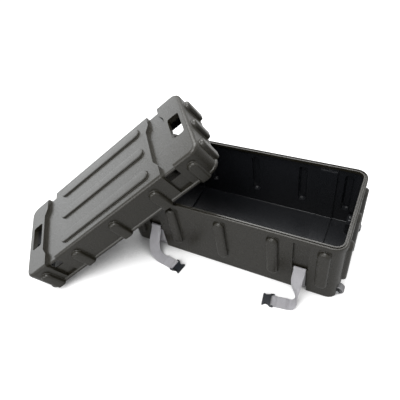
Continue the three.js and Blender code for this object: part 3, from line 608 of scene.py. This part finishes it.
def behind_the_tub(x):
    """Down to the ground behind, out, back and out again, to the turn round the plug's bar."""
    fall = [
        [0.202, 0.118], [0.206, 0.088], [0.215, 0.056], [0.228, 0.028], [0.244, 0.009], [0.262, 0.0016],
        [0.290, 0.0015],
    ]
    outer = [
        [0.491, 0.0015], [0.501, 0.0018], [0.505, 0.0055], [0.501, 0.0095], [0.491, 0.0062], [0.477, 0.0042],
    ]
    inner = [
        [0.306, 0.0042], [0.296, 0.0045], [0.292, 0.0082], [0.296, 0.0122], [0.306, 0.0089], [0.320, 0.0069],
    ]
    plug_bar, plug_fold = (x, 0.390, 0.0104), 0.092
    path = np.array(fall + outer + inner)
    place = np.stack([np.full(len(path), x), path[:, 0], path[:, 1]], axis=1)
    run = np.hstack([place, np.tile([1.0, 0.0, 0.0], (len(place), 1))])
    end = round_bar(plug_bar, math.pi / 2, plug_fold)[::-1]
    end[:, 3:] = [1, 0, 0]
    return np.vstack([run, end])


# Where each front end hangs: rows of place in millimetres, then the way of the band's width.
hang_unit = np.array([0.001, 0.001, 0.001, 1, 1, 1])
hang_right = hang_unit * [
    [311, -200, 124, 1, 0, 0], [309, -207, 104, 1, -0.08, 0], [308, -219, 82, 0.97, -0.25, 0],
    [311, -234, 60, 0.8, -0.6, 0], [317, -250, 39, 0.45, -0.9, 0], [320, -265, 20, 0.25, -1, 0],
    [311, -274, 6, 0.15, -1, 0], [295, -278, 1.6, 0.12, -1, 0], [272, -281, 1.5, 0.14, -1, 0],
]
hang_left = hang_unit * [
    [-311, -200, 124, 1, 0, 0], [-314, -207, 104, 1, 0.08, 0], [-318, -221, 77, 0.97, 0.25, 0],
    [-318, -237, 49, 0.85, 0.5, 0], [-309, -253, 24, 0.6, 0.8, 0], [-293, -262, 7, 0.38, 0.95, 0],
    [-275, -267, 1.6, 0.25, 1, 0], [-244, -271, 1.5, 0.2, 1, 0],
]


def webbing(name, route, material):
    """A flat woven band carried along the route: its width stays square to the run, and its edges are round.

    The section is a rectangle of the band's width and thickness whose short sides are half circles.
    """
    flat_points, round_points = 12, 5
    curve, side = catmull_rom(route[:, :3], route[:, 3:], curve_steps)
    curve, side, along = evenly(curve, side, row_step)
    tangent = np.gradient(curve, axis=0)
    tangent /= np.linalg.norm(tangent, axis=1, keepdims=True)
    side -= (side * tangent).sum(1, keepdims=True) * tangent
    side /= np.linalg.norm(side, axis=1, keepdims=True)
    face = np.cross(tangent, side)
    thin = strap_thick / 2
    flat_half = strap_wide / 2 - thin
    flat = np.linspace(flat_half, -flat_half, flat_points)
    bend = np.linspace(0, math.pi, round_points)[1:-1]
    level, swell, drop = np.full(flat_points, thin), thin * np.sin(bend), thin * np.cos(bend)
    wide = np.concatenate([flat, -flat_half - swell, flat[::-1], flat_half + swell])
    high = np.concatenate([level, drop, -level, -drop])
    points = curve[:, None] + wide[:, None] * side[:, None] + high[:, None] * face[:, None]
    rows, ring = points.shape[:2]
    grid = np.arange(rows * ring).reshape(rows, ring)
    here, ahead = grid[:-1], grid[1:]
    quads = np.stack([here, np.roll(here, -1, 1), np.roll(ahead, -1, 1), ahead], axis=2).reshape(-1, 4)
    mesh = bpy.data.meshes.new(name)
    faces = [*quads.tolist(), grid[0][::-1].tolist(), grid[-1].tolist()]
    mesh.from_pydata(points.reshape(-1, 3).tolist(), [], faces)
    around = np.concatenate([[0], np.cumsum(np.hypot(np.diff(wide), np.diff(high)))])
    whole_round = around[-1] + np.hypot(wide[0] - wide[-1], high[0] - high[-1])
    u_here, v_here = np.tile(around, (rows, 1)), np.tile(along[:, None], (1, ring))
    u_next = np.tile(np.append(around[1:], whole_round), (rows, 1))
    corners = np.stack([
        np.stack([u_here[:-1], v_here[:-1]], 2), np.stack([u_next[:-1], v_here[:-1]], 2),
        np.stack([u_next[1:], v_here[1:]], 2), np.stack([u_here[1:], v_here[1:]], 2),
    ], axis=2).reshape(-1, 2)
    uv = np.vstack([corners, np.zeros((2 * ring, 2))])
    mesh.uv_layers.new(name="weave")
    mesh.uv_layers["weave"].data.foreach_set("uv", uv.ravel().astype(np.float32))
    mesh.materials.append(material)
    mesh.validate()
    mesh.shade_smooth()
    piece = bpy.data.objects.new(name, mesh)
    bpy.context.scene.collection.objects.link(piece)
    return piece, float(along[-1])


def wave(tree, value, period, offset=0.5):
    """The sine of the value, one whole wave for every period, shifted by the offset in radians."""
    turns = math_node(tree, "DIVIDE", value, period)
    return math_node(tree, "SINE", math_node(tree, "MULTIPLY_ADD", turns, 2 * math.pi, offset))


def separated(tree, vector):
    node = tree.nodes.new("ShaderNodeSeparateXYZ")
    feed(tree, node.inputs["Vector"], vector)
    return node.outputs


# Weave: ribs of yarn along the band crossed by picks, both sine waves of the place on the band. The
# yarn pushes the picks aside, which gives the chevron, and the waves' sum is both height and tone.
pick_shift, pick_weight = 1.2, 0.6
weave, weave_in, weave_out = shader_group(
    "webbing_weave", {"UV": (0, 0, 0), "Yarn": 0.0017, "Pick": 0.0024}, ("Height", "Tone")
)
place = separated(weave, weave_in["UV"])
yarns = wave(weave, place["X"], weave_in["Yarn"])
picks = wave(weave, place["Y"], weave_in["Pick"], math_node(weave, "MULTIPLY", yarns, pick_shift))
crossed = math_node(weave, "MULTIPLY_ADD", picks, pick_weight, yarns)
feed(weave, weave_out["Height"], crossed)
feed(weave, weave_out["Tone"], map_range(weave, crossed, -1 - pick_weight, 1 + pick_weight))

# Stitches: rows of thread across the band at four places along it, each row a train of dashes over
# a smooth hump.
stitch_rows = (0.004, 0.008, 0.044, 0.048)
dash_low, dash_high = -0.6, -0.2
stitches, stitches_in, stitches_out = shader_group(
    "sewn_rows", {"UV": (0, 0, 0), "Stitch": 0.0032, "Thread": 0.0006}, ("Mask",)
)
place = separated(stitches, stitches_in["UV"])
dashes = map_range(stitches, wave(stitches, place["X"], stitches_in["Stitch"]), dash_low, dash_high)
away = [
    math_node(stitches, "ABSOLUTE", math_node(stitches, "SUBTRACT", place["Y"], row)) for row in stitch_rows
]
nearest = away[0]
for other in away[1:]:
    nearest = math_node(stitches, "MINIMUM", nearest, other)
on_row = map_range(stitches, nearest, 0, stitches_in["Thread"], 1, 0, curve="SMOOTHSTEP")
feed(stitches, stitches_out["Mask"], math_node(stitches, "MULTIPLY", dashes, on_row))

soil_scale, soil_share = 24, 0.22
yarn_rough, fuzz, fuzz_rough = 0.78, 0.25, 0.45
thread_up = 2.5
weave_bump, weave_height = 0.7, 0.0005


def webbing_cloth(name, dark, light, thread):
    """Webbing: the weave's tone runs from dark to light, soiling dulls it, and the thread lies on top."""
    material, tree, shader, place = new_material(name)
    uv_map = tree.nodes.new("ShaderNodeUVMap")
    uv_map.uv_map = "weave"
    uv = uv_map.outputs["UV"]
    cloth = placed_group(tree, weave, {"UV": uv})
    rows = placed_group(tree, stitches, {"UV": uv})
    soiled = placed_group(tree, grain, {"Vector": place, "Cloud Scale": soil_scale})
    drift = tree.nodes.new("ShaderNodeCombineColor")
    for channel in ("Red", "Green", "Blue"):
        feed(tree, drift.inputs[channel], soiled["Cloud"])
    tone = colour_mix(tree, cloth["Tone"], (*dark, 1), (*light, 1))
    worn = colour_mix(tree, soil_share, tone, drift.outputs["Color"], "MULTIPLY")
    feed(tree, shader.inputs["Base Color"], colour_mix(tree, rows["Mask"], worn, (*thread, 1)))
    shader.inputs["Roughness"].default_value = yarn_rough
    shader.inputs["Sheen Weight"].default_value = fuzz
    shader.inputs["Sheen Roughness"].default_value = fuzz_rough
    raised = math_node(tree, "MULTIPLY_ADD", rows["Mask"], thread_up, cloth["Height"])
    bumped(tree, shader, raised, weave_bump, weave_height)
    return material


strap_webbing = webbing_cloth(
    "strap_webbing", dark=(0.52, 0.51, 0.54), light=(0.84, 0.83, 0.87), thread=(0.33, 0.32, 0.33)
)
front_bar, front_fold = 0.005, 0.058
socket_bars = {
    "right": (0.238, -0.286, math.radians(188.7)),
    "left": (-0.203, -0.279, math.radians(-11.5)),
}
for side_name, strap_x, hang in (("right", slot_x, hang_right), ("left", -slot_x, hang_left)):
    bar_x, bar_y, heading = socket_bars[side_name]
    route = np.vstack([
        round_bar((bar_x, bar_y, front_bar), heading, front_fold), hang[::-1],
        under_the_tub(strap_x), behind_the_tub(strap_x),
    ])
    band, long = webbing("strap_band_" + side_name, route, strap_webbing)
    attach(band, "tub")
    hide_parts("strap_" + side_name)


# Buckles: side-release halves moulded in near-black acetal, two plugs on the long ends
# behind the tub and two sockets in front, whose waists are drawn in for the fingers.
buckle_acetal = moulded_plastic(
    "buckle_acetal", dark=(0.016, 0.019, 0.024), light=(0.026, 0.030, 0.037),
    rough=0.36, fine_scale=1600, bump=0.12, marks=0.1,
)
buckle_edge = 0.0006
waist_share, waist_reach, waist_length = 0.24, 0.024, 0.011
waist_cuts = np.linspace(0.014, 0.036, 12)


def waist_drawn_in(mesh, bar_x, bar_y, heading):
    """Narrow the socket by a share that falls off as a bell curve ahead of and behind its waist."""
    bar = np.array([bar_x, bar_y])
    ahead = np.array([math.cos(heading), math.sin(heading)])
    across = np.array([-ahead[1], ahead[0]])
    work = bmesh.new()
    work.from_mesh(mesh)
    for cut in waist_cuts:
        everything = work.verts[:] + work.edges[:] + work.faces[:]
        bmesh.ops.bisect_plane(
            work, geom=everything, dist=sliver, plane_co=(*(bar + cut * ahead), 0), plane_no=(*ahead, 0)
        )
    work.to_mesh(mesh)
    work.free()
    place = np.empty(3 * len(mesh.vertices), np.float32)
    mesh.vertices.foreach_get("co", place)
    place = place.reshape(-1, 3)
    reach, wide = (place[:, :2] - bar) @ ahead, (place[:, :2] - bar) @ across
    wide = wide * (1 - waist_share * np.exp(-((reach - waist_reach) / waist_length) ** 2))
    place[:, :2] = bar + reach[:, None] * ahead + wide[:, None] * across
    mesh.vertices.foreach_set("co", place.ravel())


for half in ("plug_right", "plug_left", "socket_right", "socket_left"):
    buckle = eased_copy("buckle_" + half, half + "_body", buckle_acetal, "tub", buckle_edge)
    kind, side_name = half.split("_")
    if kind == "socket":
        waist_drawn_in(buckle.data, *socket_bars[side_name])


# Wheels: grey thermoplastic tyres on nylon cores, in coated steel brackets riveted into
# the two corner pockets. Bearings, spacers, axles, nuts and rivets are zinc-plated.
tyre_rubber = moulded_plastic(
    "tyre_rubber", dark=(0.30, 0.30, 0.31), light=(0.42, 0.42, 0.43),
    rough=0.58, fine_scale=1300, bump=0.25, marks=0.2,
)
core_nylon = moulded_plastic(
    "core_nylon", dark=(0.055, 0.056, 0.058), light=(0.085, 0.086, 0.09),
    rough=0.42, fine_scale=1500, bump=0.15, marks=0.1,
)
bracket_coat = moulded_plastic(
    "bracket_coat", dark=(0.010, 0.010, 0.011), light=(0.018, 0.018, 0.019),
    rough=0.40, fine_scale=1100, bump=0.2, marks=0.25,
)


def plated_steel(name, colour, dull_share, cloud_scale, smooth, rough):
    """Zinc plate: a metal whose tone and gloss drift with the grain's cloud."""
    material, tree, shader, place = new_material(name)
    shader.inputs["Metallic"].default_value = 1
    skin = placed_group(tree, grain, {"Vector": place, "Cloud Scale": cloud_scale})
    dull = [dull_share * part for part in colour]
    feed(tree, shader.inputs["Base Color"], colour_mix(tree, skin["Cloud"], (*dull, 1), (*colour, 1)))
    feed(tree, shader.inputs["Roughness"], map_range(tree, skin["Cloud"], 0, 1, smooth, rough))
    return material


zinc_plate = plated_steel(
    "zinc_plate", colour=(0.60, 0.61, 0.63), dull_share=0.8, cloud_scale=90, smooth=0.24, rough=0.42
)
tyre_edge, core_edge, bracket_edge = 0.0006, 0.0004, 0.0005
plated_pieces = ("wheel_bearing_inner_", "wheel_bearing_outer_", "bearing_spacer_", "axle_bolt_", "axle_nut_")
for end in ("front", "rear"):
    wheel_body = "wheel_" + end
    eased_copy("wheel_tyre_" + end, "tyre_" + end, tyre_rubber, wheel_body, tyre_edge)
    eased_copy("wheel_core_" + end, "core_" + end, core_nylon, wheel_body, core_edge)
    eased_copy("wheel_bracket_" + end, "bracket_" + end, bracket_coat, "tub", bracket_edge)
    plated = [piece + end for piece in plated_pieces] + [f"rivet_{end}_{number}" for number in (1, 2, 3, 4)]
    for node_name in plated:
        for material_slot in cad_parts[node_name].material_slots:
            material_slot.material = zinc_plate
